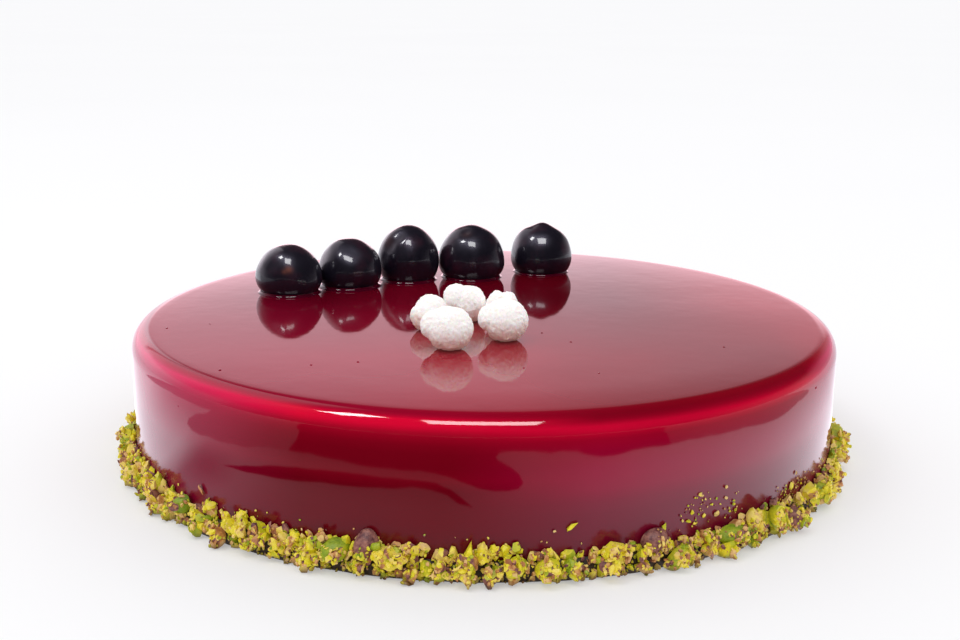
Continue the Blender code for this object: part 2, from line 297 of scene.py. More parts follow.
# %% Windows and lamps
# The name, the place, the size, the watts, and whether it is there for mirror rays
LAMPS = [
    ("window_left", (-0.508, -0.198, 1.04), (0.19, 0.26), 3.6, True),
    ("window_right", (0.0, -0.45, 1.04), (0.48, 0.34), 6.2, True),
    ("lamp_left", (-0.48, -0.24, 1.04), (0.34, 0.28), 1.2, False),
    ("lamp_right", (0.0, -0.45, 1.04), (0.48, 0.34), 0.8, False),
]
LIT_SPOT = Vector((0, 0, 0.04))
for name, place, size, watts, in_mirrors in LAMPS:
    light = bpy.data.lights.new(name, "AREA")
    light.shape = "RECTANGLE"
    light.size, light.size_y = size
    light.energy = watts
    hung = bpy.data.objects.new(name, light)
    hung.location = place
    hung.rotation_euler = (Vector(place) - LIT_SPOT).to_track_quat("Z", "Y").to_euler()
    hung.visible_glossy = in_mirrors
    hung.visible_diffuse = not in_mirrors
    bpy.context.scene.collection.objects.link(hung)
bpy.context.scene.view_settings.view_transform = "Standard"
print("windows and lamps:", len(LAMPS))

# %% [markdown]
# ## Working by hand, in code
#
# Blender's tools act on whatever is selected, and the frame arrives selected. So each step starts by
# selecting nothing, one object, or only the wanted corners, edges or faces of it. It ends with the
# piece's place moved into its mesh, so that the object sits at the origin.


# %% Selecting and settling
def deselect():
    """Close any editing and select nothing."""
    if bpy.context.object and bpy.context.object.mode == "EDIT":
        bpy.ops.object.mode_set(mode="OBJECT")
    bpy.ops.object.select_all(action="DESELECT")


def alone(piece):
    """Make an object the only one selected, and the active one."""
    deselect()
    piece.select_set(True)
    bpy.context.view_layer.objects.active = piece


def pick(piece, kind, rule):
    """Open a piece for editing, with the corners, edges or faces selected that a rule chooses."""
    alone(piece)
    bpy.ops.object.mode_set(mode="EDIT")
    bpy.ops.mesh.select_mode(type=kind)
    bpy.ops.mesh.select_all(action="DESELECT")
    form = bmesh.from_edit_mesh(piece.data)
    items = {"VERT": form.verts, "EDGE": form.edges, "FACE": form.faces}[kind]
    for item in items:
        if rule(item):
            item.select_set(True)
    form.select_flush_mode()
    bmesh.update_edit_mesh(piece.data)


def settle(piece, name):
    """Close the editing, name the piece and move its place, turn and scale into its mesh."""
    alone(piece)
    bpy.ops.object.transform_apply(location=True, rotation=True, scale=True)
    piece.name = name
    piece.data.name = name


def apply(piece, kind, **settings):
    """Add a modifier with its settings and apply it."""
    alone(piece)
    modifier = piece.modifiers.new(kind.lower(), kind)
    for name, value in settings.items():
        setattr(modifier, name, value)
    bpy.ops.object.modifier_apply(modifier=modifier.name)


def ripple(piece, name, size, depth, strength, middle=0.5, **more):
    """Push a skin in and out by soft clouds of a given size."""
    texture = bpy.data.textures.new(name, "CLOUDS")
    texture.noise_scale = size
    texture.noise_depth = depth
    apply(piece, "DISPLACE", texture=texture, strength=strength, mid_level=middle, **more)


def squash(share, level=0):
    """Scale what is selected in height alone, towards a level."""
    bpy.ops.transform.resize(value=(1, 1, share), center_override=(0, 0, level))


def dress(piece, material, slot, *nodes):
    """Give a piece its material, hide the solids it replaces, and say what it moves with. The slot, which
    says what it stands for, is not used.
    """
    piece.data.materials.clear()
    piece.data.materials.append(material)
    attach(piece, "root")
    if nodes:
        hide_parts(*nodes)
    print(f"{piece.name}: {len(piece.data.polygons)} faces")


# %% [markdown]
# ## Floor
#
# The floor is a plain white sheet, marked as stage. What the cake's side mirrors is another matter:
# right and left the sheet is in full light, and in front it lies in shade and ends just outside the
# view. Cards on the sheet, which only mirror rays can see, paint this.

# %% Floor
deselect()
bpy.ops.mesh.primitive_plane_add(size=400)
floor = bpy.context.object
floor.name = "floor"
sheet = Finish("white_sheet", Roughness=0.8, Specular_IOR_Level=0.0, Emission_Color=(1.0, 1.0, 1.015, 1.0),
               Emission_Strength=0.34)
sheet.wear(Base_Color=sheet.mix(sheet.noise(0.5), (0.61, 0.61, 0.62), (0.59, 0.59, 0.6)))
floor.data.materials.append(sheet.material)


# %% Cards that only the glaze can see
def card(name, outline, height, finish):
    """A flat card over the floor that is only seen mirrored. It is given in tenths of a millimetre."""
    deselect()
    bpy.ops.mesh.primitive_circle_add(vertices=len(outline), fill_type="NGON")
    made = bpy.context.object
    made.name = name
    for corner, (x, y) in zip(made.data.vertices, outline):
        corner.co = (x / 10000, y / 10000, height / 10000)
    made.data.materials.append(finish.material)
    for ray in ("camera", "diffuse", "shadow", "transmission"):
        setattr(made, f"visible_{ray}", False)


def paper(name, near=None, distant=None):
    """A paper that mirrors nothing. It shines by its angle round the cake, near it and farther out."""
    made = Finish(name, Base_Color=(0, 0, 0, 1), Roughness=1.0, Specular_IOR_Level=0.0, Emission_Strength=1.0)
    if near:
        ground = made.axes()
        angle = made.turn(ground["X"], 0 - ground["Y"])
        painted_glow = made.mix(made.between(made.away((0, 0, 0)), *FADE),
                        made.levels(angle, near, COOL), made.levels(angle, distant, COOL))
        soft = made.mix(made.between(made.away(SHADE), 0.022, 0.004), (1, 1, 1), (0.55, 0.55, 0.55))
        made.wear(Emission_Color=made.mix(1.0, painted_glow, soft, "MULTIPLY"))
    return made


COOL = (1.0, 1.0, 1.08)
SHADE = (-0.116, -0.071, 0.0)
FADE = (0.14, 0.175)
# How bright the mirrored floor is: degrees from the front towards +X, and percent
NEAR_GLOW = [
    (-180, 120), (-96, 165), (-80, 180), (-71, 180), (-63, 66), (-56, 72), (-46, 68), (-40, 55), (-32, 45),
    (-8, 36), (0, 42), (8, 57), (16, 74), (24, 95), (32, 118), (40, 130), (56, 172), (72, 195), (84, 190),
    (96, 160), (104, 135), (180, 120),
]
FAR_GLOW = [
    (-180, 100), (-96, 145), (-84, 105), (-72, 95), (-64, 115), (-56, 68), (-48, 40), (-38, 25), (-8, 20),
    (0, 34), (8, 46), (16, 50), (24, 60), (32, 85), (40, 105), (56, 125), (72, 120), (84, 120), (104, 95),
    (180, 100),
]
# The same beyond the sheet's end on both sides
DUSK_GLOW = [
    (-180, 60), (-88, 55), (-72, 48), (-64, 46), (-56, 40), (-48, 30), (-40, 26), (0, 20), (40, 18),
    (48, 26), (56, 32), (72, 40), (90, 50), (180, 60),
]
# Far out of sight, 3 metres from the cake
FAR = 30000
card("mirrored_sheet", [(-FAR, -FAR), (FAR, -FAR), (FAR, FAR), (-FAR, FAR)], 3,
     paper("mirrored_sheet", NEAR_GLOW, FAR_GLOW))

# Where the sheet ends in front, from left to right, in tenths of a millimetre on the floor
LEFT_END = [
    (-1764, 343), (-1772, 164), (-1788, -7), (-1819, -177), (-1780, -240), (-1768, -404), (-1719, -573),
    (-1679, -728), (-1652, -679), (-1636, -564), (-1578, -492), (-1516, -484), (-1458, -555), (-1420, -645),
    (-1417, -713), (-1373, -799), (-1333, -901), (-1285, -995), (-1256, -1086), (-1212, -1169),
    (-1130, -1274),
]
LEFT_EDGE = [(-1184, -1385), (-1243, -1449), (-1316, -1471), (-16000, -12000)]
MIDDLE_END = [
    (-1030, -1382), (-953, -1420), (-816, -1498), (-677, -1557), (-518, -1617), (-378, -1663), (-270, -1669),
    (-176, -1658), (-94, -1620), (-19, -1587), (54, -1570), (131, -1562), (190, -1573), (223, -1614),
    (211, -1687), (166, -1757), (103, -1807), (86, -1842), (119, -1878), (204, -1880), (344, -1850),
    (440, -1802), (514, -1798), (620, -1755), (671, -1692), (745, -1623), (834, -1574), (950, -1530),
    (1061, -1450), (1171, -1360),
]
RIGHT_EDGE = [(1208, -1404), (1257, -1467), (1297, -1520), (16000, -12000)]
RIGHT_END = [
    (1285, -1259), (1381, -1135), (1464, -993), (1543, -832), (1583, -649), (1621, -482), (1687, -300),
    (1729, -174), (1751, 2), (1813, 52),
]
STREAK = [
    (-1158, -814), (-1125, -958), (-1070, -1109), (-980, -1247), (-870, -1351), (-754, -1430), (-635, -1496),
    (-486, -1554), (-351, -1584), (-249, -1589), (-168, -1559), (-106, -1511), (-42, -1442), (-115, -1466),
    (-174, -1512), (-268, -1536), (-364, -1524), (-510, -1456), (-650, -1376), (-795, -1287), (-835, -1239),
    (-932, -1131), (-1031, -1013), (-1123, -872),
]
night = paper("night_card")
night.shader.inputs["Emission Strength"].default_value = 0.0
dusk = paper("dusk_card", DUSK_GLOW, DUSK_GLOW)
card("left_card", LEFT_END + LEFT_EDGE + [(-FAR, -12000), (-FAR, 9000)], 4, dusk)
in_front = [(16000, -FAR), (-16000, -FAR)] + LEFT_EDGE[::-1]
card("middle_card", [LEFT_END[-1]] + MIDDLE_END + RIGHT_EDGE + in_front, 4, night)
beside = [(FAR, 6000), (FAR, -12000)] + RIGHT_EDGE[::-1]
card("right_card", [MIDDLE_END[-1]] + RIGHT_END + beside, 4, dusk)
card("streak_card", STREAK, 5, night)

# %% [markdown]
# ## The glazed cake
#
# Mirror glaze is poured over the frozen cake. It runs level on top, rolls over the edge in a full
# round, and comes down the side in slow waves of a tenth of a millimetre that bend its mirror images.
# A cylinder is bevelled at both rims, inset ring by ring on top and subdivided at the side, and a
# Displace modifier adds the waves.

# %% The cake's shape
CAKE_SEGMENTS = 320
TOP_RING = 0.002
SIDE_CUTS = 36
deselect()
bpy.ops.mesh.primitive_cylinder_add(vertices=CAKE_SEGMENTS, radius=CAKE_RADIUS, depth=CAKE_HEIGHT,
                                    location=(0, 0, CAKE_HEIGHT / 2))
cake = bpy.context.object
settle(cake, "glazed_cake")
pick(cake, "EDGE", lambda edge: all(corner.co.z > CAKE_HEIGHT - GAP for corner in edge.verts))
bpy.ops.mesh.bevel(offset=EDGE_ROUNDING, segments=18, clamp_overlap=False)
pick(cake, "EDGE", lambda edge: all(corner.co.z < GAP for corner in edge.verts))
bpy.ops.mesh.bevel(offset=FOOT_ROUNDING, segments=3, clamp_overlap=False)
pick(cake, "EDGE", lambda edge: abs(edge.verts[0].co.z - edge.verts[1].co.z) > CAKE_HEIGHT / 2)
bpy.ops.mesh.subdivide(number_cuts=SIDE_CUTS)
pick(cake, "FACE", lambda face: face.normal.z > 0.9 and len(face.verts) > 4)
for ring in range(int((CAKE_RADIUS - EDGE_ROUNDING) / TOP_RING) - 1):
    bpy.ops.mesh.inset(thickness=TOP_RING)
bpy.ops.mesh.poke()
alone(cake)
print("cake faces", len(cake.data.polygons))

# %% The glaze's slow waves
WAVES = 0.00005
# The top sinks a little towards its edge, most of all round one spot at the right
SAG = 0.00016
SAG_REACH = 0.016
SAG_SPOT = (0.055, -0.075)
SAG_SPOT_REACH = 0.09
SAG_ELSEWHERE = 0.35
side = cake.vertex_groups.new(name="side")
top = cake.vertex_groups.new(name="top")
sag = cake.vertex_groups.new(name="sag")
for corner in cake.data.vertices:
    down = CAKE_HEIGHT - corner.co.z
    reach = (corner.co.xy.length - (CAKE_RADIUS - EDGE_ROUNDING - SAG_REACH)) / SAG_REACH
    fall = min(max(reach, 0.0), 1.0) ** 2 * max(1 - down / EDGE_ROUNDING, 0.0)
    near_spot = max(1 - (corner.co.xy - Vector(SAG_SPOT)).length / SAG_SPOT_REACH, 0.0)
    depth = SAG_ELSEWHERE + (1 - SAG_ELSEWHERE) * min(near_spot * 1.6, 1.0)
    sag.add([corner.index], fall * depth, "REPLACE")
    share = min(max((down - 0.003) / 0.008, 0.0), 1.0)
    side.add([corner.index], share if corner.co.z > 0.001 else 0.0, "REPLACE")
    top.add([corner.index], 1.0 if down < 0.0001 else 0.0, "REPLACE")
ripple(cake, "side_flow", 0.03, 1, WAVES, vertex_group="side")
ripple(cake, "top_flow", 0.045, 1, WAVES, vertex_group="top")
apply(cake, "DISPLACE", direction="Z", strength=-SAG, mid_level=0.0, vertex_group="sag")
cake.vertex_groups.clear()
alone(cake)
bpy.ops.object.shade_smooth_by_angle(angle=math.radians(40))

# %% [markdown]
# The red is deep where the glaze lies thick and lighter where it thins over the edge, and light is
# painted into it as well: a painted glow on the rounded edge, as if light shone through it, painted
# shade down the side, and a lighter left side, as if lit from the left. Ramps on the height paint
# this. It differs on the left, in front and on the right, so there are three, blended across the
# cake. On top, painted shade darkens it towards the back, most of all round the cherries.

# %% The glaze's finish
# Height in mm and the red in percent, with the painted glow and shade in it, for the left, the front and the
# right
PAINTED_GLOW_LEFT = [
    (12, 24), (18, 25), (21, 28), (24, 33), (27, 36), (30, 41), (32, 44), (34, 45.5), (35, 45), (35.5, 45.5),
    (36, 47.5), (36.5, 53), (37, 63), (37.5, 68), (38, 51), (38.3, 46), (38.6, 38), (39, 31),
]
PAINTED_GLOW_FRONT = [
    (12, 14), (18, 13.5), (21, 13), (24, 18), (27, 16), (30, 17), (32, 20.5), (33, 25), (34, 30), (35, 39),
    (35.5, 50), (36, 61), (36.5, 69), (37, 70), (37.5, 72), (38, 44), (38.3, 33), (38.6, 28.5), (39, 28),
]
PAINTED_GLOW_RIGHT = [
    (12, 16), (15, 17), (18, 20), (21, 26), (24, 28), (27, 28), (30, 27), (32, 30), (33, 31), (34, 40),
    (35, 52), (35.5, 55), (36, 54), (36.5, 40), (37, 28), (37.5, 22), (38, 19.5), (38.3, 20), (38.6, 21),
    (39, 21.5),
]
# On the top, from left to right in mm, in front of the cherries and behind them, where painted shade darkens
# it
PAINTED_GLOW_TOP = [
    (-100, 31), (-85, 25), (-60, 26), (-45, 27), (-20, 29), (-12, 31), (10, 28), (20, 24), (30, 22),
    (42, 21), (50, 19), (60, 17.5), (72, 17.5), (80, 19), (90, 27), (100, 35),
]
PAINTED_SHADE_BEHIND = [
    (-100, 22), (-86, 17), (-70, 15), (-49, 11), (-37, 13), (-25, 15), (0, 12), (25, 10), (40, 9), (50, 13),
    (62, 19), (74, 26), (86, 31), (100, 34),
]
RED_LEFT = (1, 0.003, 0.15)
RED_FRONT = (1, 0.003, 0.045)
RED_RIGHT = [(1, 0.003, 0.11), (1, 0.003, 0.05)]
RED_TOP = [(1, 0.003, 0.08), (1, 0.003, 0.04)]
glaze = Finish("mirror_glaze", Roughness=0.045, IOR=1.5)
spot = glaze.axes()
up = spot["Z"] * 1000
right = glaze.between(spot["X"], -0.007, 0.026)
left = glaze.between(spot["X"], -0.043, -0.088) + glaze.between(spot["X"], 0.082, 0.096)
# Painted light by height: a bright glow on the rounded edge and painted shade down the side
painted_glow = glaze.mix(right, glaze.levels(up, PAINTED_GLOW_FRONT), glaze.levels(up, PAINTED_GLOW_RIGHT))
painted_glow = glaze.mix(left, painted_glow, glaze.levels(up, PAINTED_GLOW_LEFT))
across = spot["X"] * 1000
# Painted shade on top, darker behind the front of the cherries
level = glaze.mix(glaze.between(spot["Y"], -0.05, 0.015), glaze.levels(across, PAINTED_GLOW_TOP),
                  glaze.levels(across, PAINTED_SHADE_BEHIND))
on_top = glaze.between(up, CAKE_HEIGHT * 1000 - 0.4, CAKE_HEIGHT * 1000 - 0.1)
painted_glow = glaze.mix(on_top, painted_glow, level)
tint = glaze.mix(right, RED_FRONT, glaze.mix(glaze.between(up, 26, 34), *RED_RIGHT))
tint = glaze.mix(left, tint, RED_LEFT)
red_above = glaze.mix(glaze.between(spot["X"], -0.06, 0.05), *RED_TOP)
tint = glaze.mix(glaze.between(up, 37.6, 38.4), tint, red_above)
blotches = glaze.mix(glaze.between(glaze.noise(0.035), 0.35, 0.65), (0.95, 0.95, 0.95), (1.03, 1.03, 1.03))
glaze.wear(Base_Color=glaze.mix(1.0, glaze.mix(1.0, painted_glow, tint, "MULTIPLY"), blotches, "MULTIPLY"),
           Roughness=0.035 + glaze.noise(0.02) * 0.03 + glaze.between(up, 14, 8) * 0.2,
           Normal=glaze.bump(glaze.noise(0.006, 1.0), 0.000012))
dress(cake, glaze.material, "mirror_glaze", "cake_body")

# %% [markdown]
# A few air bubbles and specks sit in the skin of the glaze. Each is a flat dome a few tenths of a
# millimetre wide: a sphere, pressed low and half sunk in the surface.

# %% Bubbles in the glaze
# Where each sits, in mm
BUBBLES = [
    (-78.1, -17.9, 39), (-89.2, -23, 39), (-66.1, -65, 39), (-76.4, -67.5, 30.2), (-43.9, -59.7, 39),
    (-32.3, -56.5, 39), (10.2, -60.8, 39), (16.2, -24.9, 39), (23.7, -34.5, 39), (28.9, -64.8, 39),
    (64.8, -38.4, 39), (86.1, -54.7, 32.6),
]
domes = []
for number, spot in enumerate(BUBBLES):
    deselect()
    bpy.ops.mesh.primitive_uv_sphere_add(segments=12, ring_count=8, radius=0.0003 + 0.00004 * (number % 3))
    dome = bpy.context.object
    dome.scale.z = 0.5
    if spot[2] < 39:
        dome.rotation_euler = Vector((*spot[:2], 0)).to_track_quat("Z", "Y").to_euler()
    dome.location = Vector(spot) / 1000
    domes.append(dome)
for dome in domes:
    dome.select_set(True)
bpy.ops.object.join()
settle(domes[-1], "glaze_bubbles")
bpy.ops.object.shade_smooth()
dress(domes[-1], glaze.material, "mirror_glaze", "cake_body")

# %% [markdown]
# ## Cherries
#
# Stoned cherries in syrup slump on the glaze into domes with a flat foot, wider than they are high,
# and the skin falls in where the stone was taken out. Each starts as a sphere. Dents are pressed in
# with proportional editing, both halves are drawn to their heights, and the foot is pressed flat.

# %% Measures of the cherries
# The place on the cake, the width and height, how high the widest line lies, the depth as a share of
# the width, and the turn in degrees
CHERRIES = [
    dict(place=(-0.0615, 0.0247), width=0.0211, height=0.0149, widest=0.0044, depth=0.93, turn=-8),
    dict(place=(-0.0434, 0.0345), width=0.0207, height=0.0152, widest=0.0046, depth=0.93, turn=12),
    dict(place=(-0.0251, 0.0457), width=0.0203, height=0.0176, widest=0.0062, depth=0.96, turn=0),
    dict(place=(-0.0044, 0.051), width=0.0222, height=0.017, widest=0.0048, depth=0.96, turn=0),
    dict(place=(0.0192, 0.0601), width=0.0208, height=0.0158, widest=0.0046, depth=0.96, turn=0),
]
# Which cherry, the direction from its middle, how deep the dent is (less than 0 for a bump) and how wide,
# as shares of the cherry's half width
CHERRY_MARKS = [
    (0, (0.75, -0.3, 0.6), 0.05, 0.55),
    (0, (-0.2, -0.75, 0.35), 0.022, 0.22),
    (1, (-0.85, -0.3, 0.45), 0.07, 0.45),
    (1, (0.1, -0.62, 0.78), 0.035, 0.4),
    (1, (0.1, -0.98, 0.15), -0.04, 0.45),
    (2, (-0.55, -0.6, 0.5), 0.085, 0.2),
    (2, (-0.28, -0.55, 0.78), 0.06, 0.2),
    (2, (-0.72, -0.6, 0.12), 0.055, 0.2),
    (2, (0.8, -0.2, 0.62), 0.05, 0.45),
    (2, (0.15, -0.98, 0.1), -0.05, 0.45),
    (3, (-0.2, -0.45, 0.9), 0.05, 0.22),
    (3, (0.2, -0.95, 0.15), -0.04, 0.4),
    (4, (0.04, -0.05, 1.0), -0.075, 0.26),
    (4, (-0.68, 0.0, 0.74), -0.04, 0.36),
    (4, (0.75, 0.0, 0.65), -0.025, 0.4),
]
# A proportional edit's smooth fall-off reaches this many times further than the dent's own width
FALL_OFF = 1.69
# How wide the foot is, as a share of the cherry's width
FOOT_SHARE = 0.82


# %% Shaping a cherry
def press(piece, toward, depth, width):
    """Push the skin in (or out, for a negative depth) round the point that faces a direction."""
    direction = Vector(toward).normalized()
    corners = piece.data.vertices
    nearest = max(corners, key=lambda corner: corner.co.dot(direction)).index
    pick(piece, "VERT", lambda corner: corner.index == nearest)
    bpy.ops.transform.translate(value=-direction * depth, use_proportional_edit=True,
                                proportional_edit_falloff="SMOOTH", proportional_size=width * FALL_OFF)
    alone(piece)


def cherry_skin(number):
    """One cherry: a sphere, its dents, its height, its flat foot and its turn."""
    size = CHERRIES[number]
    half = size["width"] / 2
    deselect()
    bpy.ops.mesh.primitive_uv_sphere_add(segments=96, ring_count=64, radius=half)
    skin = bpy.context.object
    for which, toward, depth, width in CHERRY_MARKS:
        if which == number:
            press(skin, toward, depth * half, width * half)
    pick(skin, "VERT", lambda corner: corner.co.z > 0)
    squash((size["height"] - size["widest"]) / half)
    pick(skin, "VERT", lambda corner: corner.co.z < 0)
    squash(size["widest"] / (half * math.sqrt(1 - FOOT_SHARE ** 2)))
    pick(skin, "VERT", lambda corner: corner.co.z < -size["widest"])
    squash(0, -size["widest"])
    bpy.ops.mesh.select_all(action="SELECT")
    bpy.ops.transform.resize(value=(1, size["depth"], 1), center_override=(0, 0, 0))
    skin.rotation_euler.z = math.radians(size["turn"])
    skin.location = (*size["place"], CAKE_HEIGHT + GAP + size["widest"])
    settle(skin, f"cherry_skin_{number + 1}")
    ripple(skin, "skin_lumps", 0.005, 0, 0.00035)
    apply(skin, "SMOOTH", factor=0.5, iterations=10)
    bpy.ops.object.shade_smooth()
    return skin


# %% [markdown]
# The skin is nearly black. A coat of syrup gives it sharp window lights, and under the coat it
# shines more softly. Blotches let a little red flesh show, and a few blushes are painted as a vertex
# attribute, where the flesh lies close under the skin.

# %% Cherry skins
# Which cherry, the direction from its middle, how wide the blush is and how strong
BLUSHES = [
    (0, (0.12, -0.86, 0.42), 0.11, 1.0),
    (0, (-0.02, -0.93, 0.36), 0.07, 0.6),
    (2, (-0.62, -0.4, 0.66), 0.22, 0.18),
    (3, (-0.15, -0.5, 0.92), 0.14, 0.15),
]
cherry = Finish("cherry_skin", IOR=1.45, Coat_Weight=1.0, Coat_Roughness=0.075, Coat_IOR=1.45,
                Specular_Tint=(0.8, 0.75, 1.0, 1.0))
flesh = cherry.between(cherry.noise(0.006), 0.5, 0.72)
skin_colour = cherry.mix(flesh, (0.006, 0.004, 0.01), (0.024, 0.005, 0.013))
spotted = cherry.mix(cherry.painted("blush"), skin_colour, (0.17, 0.045, 0.02))
cherry.wear(Base_Color=spotted,
            Roughness=0.26 + 0.22 * cherry.noise(0.004),
            Normal=cherry.bump(cherry.noise(0.0022, 2.0), 0.00004))
for number, size in enumerate(CHERRIES):
    skin = cherry_skin(number)
    middle = Vector((*size["place"], CAKE_HEIGHT + GAP + size["widest"]))
    paint = skin.data.attributes.new("blush", "FLOAT", "POINT")
    for which, toward, width, strength in BLUSHES:
        if which != number:
            continue
        for corner in skin.data.vertices:
            apart = ((corner.co - middle).normalized() - Vector(toward).normalized()).length
            paint.data[corner.index].value += strength * math.exp(-((apart / width) ** 2))
    dress(skin, cherry.material, "syrup_cherry", f"cherry_{number + 1}")

# %% [markdown]
# ## Syrup at the cherries' feet
#
# A little syrup stands round each cherry's foot. It climbs the skin and curves out to nothing on the
# glaze, and this hollow curve catches a thin line of light. Each foot is a circle that is extruded
# outwards and down in small steps along a quarter round.

# %% Syrup feet
FOOT_STEPS = 8
# How high the syrup climbs each cherry, and how far out it reaches
SYRUP = [(0.0008, 0.0009), (0.0009, 0.0014), (0.0008, 0.001), (0.0007, 0.0008), (0.0006, 0.0007)]
# How far its inner edge is tucked under the cherry's skin
TUCK = 0.00015


def syrup_foot(number):
    """A low flared ring of syrup, closed above inside the cherry and below on the glaze."""
    size = CHERRIES[number]
    climb, reach = SYRUP[number]
    half = size["width"] / 2
    level = (1 - climb / size["widest"]) * math.sqrt(1 - FOOT_SHARE ** 2)
    start = half * math.sqrt(1 - level * level) - TUCK
    deselect()
    bpy.ops.mesh.primitive_circle_add(vertices=96, radius=start, fill_type="NGON")
    foot = bpy.context.object
    before = start
    level_before = 0.0
    pick(foot, "FACE", lambda face: True)
    bpy.ops.mesh.select_mode(type="EDGE")
    for step in range(1, FOOT_STEPS + 1):
        angle = math.radians(90 * step / FOOT_STEPS)
        radius = start + reach * (1 - math.cos(angle))
        drop = climb * math.sin(angle)
        bpy.ops.mesh.extrude_region_move(TRANSFORM_OT_translate={"value": (0, 0, level_before - drop)})
        bpy.ops.transform.resize(value=(radius / before, radius / before, 1), center_override=(0, 0, 0))
        before = radius
        level_before = drop
    bpy.ops.mesh.select_all(action="SELECT")
    bpy.ops.mesh.normals_make_consistent(inside=False)
    foot.scale.y = size["depth"]
    foot.rotation_euler.z = math.radians(size["turn"])
    foot.location = (*size["place"], CAKE_HEIGHT + climb)
    settle(foot, f"syrup_foot_{number + 1}")
    bpy.ops.object.shade_smooth_by_angle(angle=math.radians(50))
    return foot


syrup = Finish("syrup", Roughness=0.04, IOR=1.45)
syrup.wear(Base_Color=syrup.mix(syrup.noise(0.004), (0.045, 0.001, 0.008), (0.1, 0.001, 0.014)),
           Normal=syrup.bump(syrup.noise(0.003), 0.00008))
for number in range(len(CHERRIES)):
    dress(syrup_foot(number), syrup.material, "syrup_cherry")

# %% [markdown]
# ## Meringues
#
# Each white puff is a lump of two soft lobes with a pitted, grainy skin. Two spheres are joined, a
# Remesh modifier melts them into one closed skin of fine squares, and Displace modifiers add lumps
# and pits. The foot is pressed flat, and the whole is fitted to the box of its solid.

# %% Measures of the meringues
# The turn in degrees, and the middle and radius of each lobe as shares of the puff's half size
PUFFS = [
    dict(turn=20, lobes=[((0.15, 0.1, 0.14), 0.78), ((-0.22, -0.18, -0.14), 0.76)]),
    dict(turn=0, lobes=[((0.1, 0.0, -0.06), 0.86), ((-0.38, 0.1, 0.04), 0.6)]),
    dict(turn=0, lobes=[((-0.46, 0.0, 0.26), 0.6), ((0.2, 0.0, 0.0), 0.8)]),
    dict(turn=0, lobes=[((0.08, 0.0, -0.06), 0.88), ((-0.4, -0.05, 0.06), 0.6)]),
    dict(turn=0, lobes=[((-0.3, 0.0, 0.1), 0.7), ((0.35, 0.05, 0.16), 0.64)]),
]
# Where the flat foot lies, as a share of the way down, and how fine the skin's squares are
PUFF_FOOT = 0.86
PUFF_SKIN = 0.00028


# %% Shaping a meringue
def corners_box(piece):
    """The lowest and the highest corner of a mesh."""
    along = list(zip(*(corner.co for corner in piece.data.vertices)))
    return Vector([min(values) for values in along]), Vector([max(values) for values in along])


def puff_skin(number):
    """One meringue: two lobes melted together, roughened, and fitted to its solid."""
    low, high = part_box(f"meringue_{number + 1}")
    half = (high - low) / 2
    deselect()
    lobes = []
    for middle, radius in PUFFS[number]["lobes"]:
        at = [middle[axis] * half[axis] for axis in range(3)]
        bpy.ops.mesh.primitive_uv_sphere_add(segments=40, ring_count=28, radius=radius, location=at,
                                             scale=half)
        lobes.append(bpy.context.object)
    for lobe in lobes:
        lobe.select_set(True)
    bpy.ops.object.join()
    puff = bpy.context.object
    puff.rotation_euler.z = math.radians(PUFFS[number]["turn"])
    settle(puff, f"puff_{number + 1}")
    apply(puff, "REMESH", mode="VOXEL", voxel_size=PUFF_SKIN, adaptivity=0.0)
    apply(puff, "SMOOTH", factor=0.5, iterations=16)
    ripple(puff, "puff_lumps", 0.003, 1, 0.0005)
    ripple(puff, "puff_pits", 0.0007, 2, 0.0006)
    lowest = corners_box(puff)[0].z * PUFF_FOOT
    pick(puff, "VERT", lambda corner: corner.co.z < lowest)
    squash(0, lowest)
    alone(puff)
    now_low, now_high = corners_box(puff)
    puff.scale = [(high - low)[axis] / (now_high - now_low)[axis] for axis in range(3)]
    settle(puff, puff.name)
    puff.location = low - corners_box(puff)[0]
    settle(puff, puff.name)
    bpy.ops.object.shade_smooth()
    return puff


# %% The meringues' finish
# The lower part of each puff is painted pinkish tan: painted shade, tinted by red light thrown up from the
# glaze. A weak emission paints light into the whole puff, white on top so that the tops blow out to white,
# and pinkish lower down.
meringue = Finish("meringue", Roughness=0.85, Subsurface_Weight=0.3, Subsurface_Scale=0.003,
                  Emission_Strength=0.16)
grain = meringue.noise(0.0009, 4.0, 0.7)
white = meringue.mix(meringue.between(grain, 0.35, 0.62), (0.9, 0.84, 0.81), (0.98, 0.975, 0.97))
rise = meringue.axes()["Z"]
painted_low_shade = meringue.between(rise + (meringue.noise(0.003) - 0.5) * 0.003, CAKE_HEIGHT + 0.0062, CAKE_HEIGHT)
painted_shade_colour = meringue.mix(painted_low_shade, white, (0.84, 0.52, 0.43))
painted_light = meringue.mix(meringue.between(painted_low_shade, 0.0, 0.5), white, (0.5, 0.26, 0.22))
meringue.wear(Base_Color=painted_shade_colour, Emission_Color=painted_light, Normal=meringue.bump(grain, 0.0004))
for number in range(len(PUFFS)):
    dress(puff_skin(number), meringue.material, "meringue", f"meringue_{number + 1}")

# %% [markdown]
# ## Chopped pistachios
#
# Pistachios are chopped with a knife and pressed against the foot while the glaze is soft. The heap
# holds half kernels, wedges and chunks with flat cuts, fine bits, crumbs, and flakes of purple skin.
# The larger pieces stand where the solids have them, drawn in the same order from the same seed, and
# only the finer ones are dropped by chance onto what already lies there.

# %% Measures of the band
BAND_SEED = 11
# The rows of smaller pieces: how many, how far out of the cake's side and up, and how long
NUT_ROWS = [
    dict(count=67, out=0.0034, up=0.0022, length=(0.004, 0.0062)),
    dict(count=67, out=0.003, up=0.0048, length=(0.004, 0.0062)),
    dict(count=56, out=0.0017, up=0.007, length=(0.0034, 0.0054)),
]
